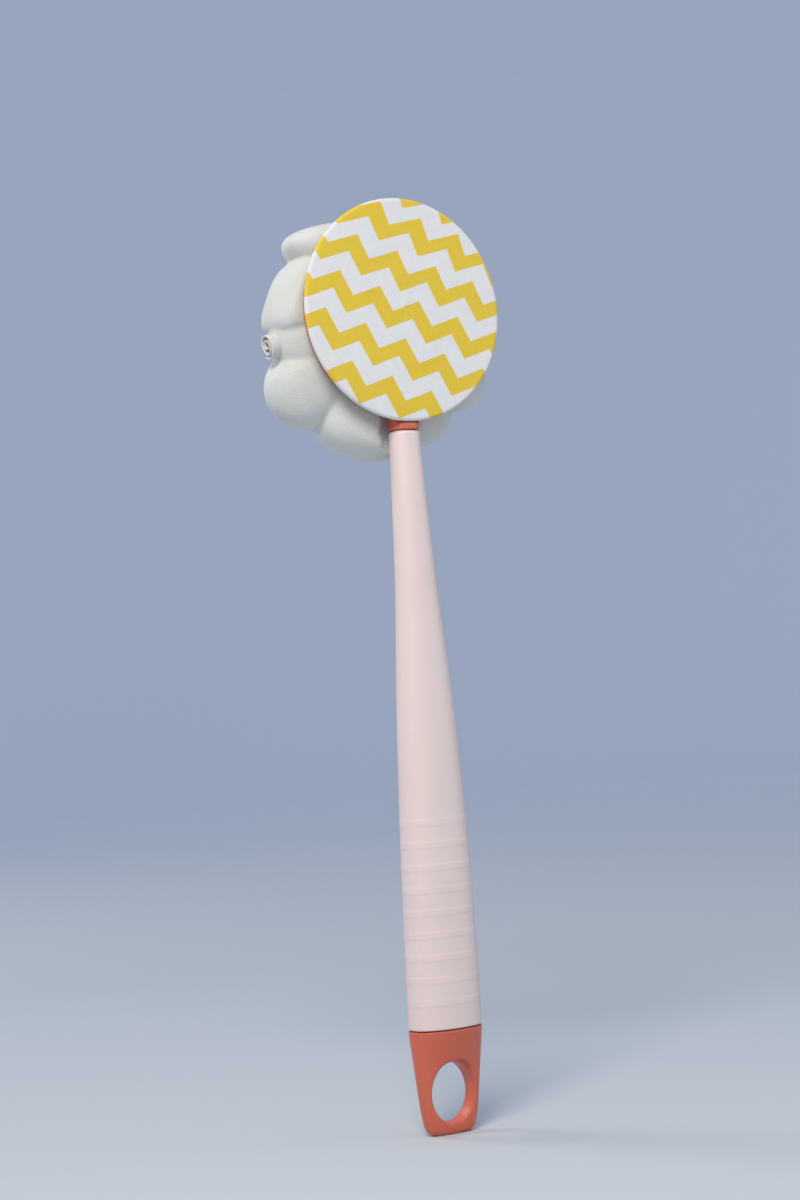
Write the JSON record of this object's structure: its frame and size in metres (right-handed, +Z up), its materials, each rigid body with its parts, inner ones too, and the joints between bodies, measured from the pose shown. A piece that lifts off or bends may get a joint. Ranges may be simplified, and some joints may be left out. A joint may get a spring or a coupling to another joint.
{
  "type": "loofah back scrubber",
  "caption": "Long-handled bath brush with a net pouf on one side of its round head and a patterned foam pad on the other, and a hanging hole in its end cap.",
  "frame": {"origin": "middle of the flat end of the hanging cap", "axes": "+Z up the handle to the head, -Y towards the pad's side, +Y towards the pouf's side, X across the head"},
  "size_m": [0.1083, 0.0593, 0.4],
  "materials": {
    "pink_plastic": "satin moulded",
    "coral_plastic": "satin moulded",
    "adhesive": "thin clear film",
    "white_foam": "fine open-cell foam",
    "printed_fabric": "yellow and white zigzag print",
    "net": "fine knitted net",
    "cord": "braided"
  },
  "bodies": {
    "root": {"handle_shell": "pink_plastic", "end_cap": "coral_plastic", "head_plate": "coral_plastic", "pad_adhesive": "adhesive", "pad_foam": "white_foam", "pad_fabric": "printed_fabric", "net_length_inner": "net", "net_length_middle": "net", "net_length_outer": "net", "tie_cord": "cord"}
  },
  "joints": []
}
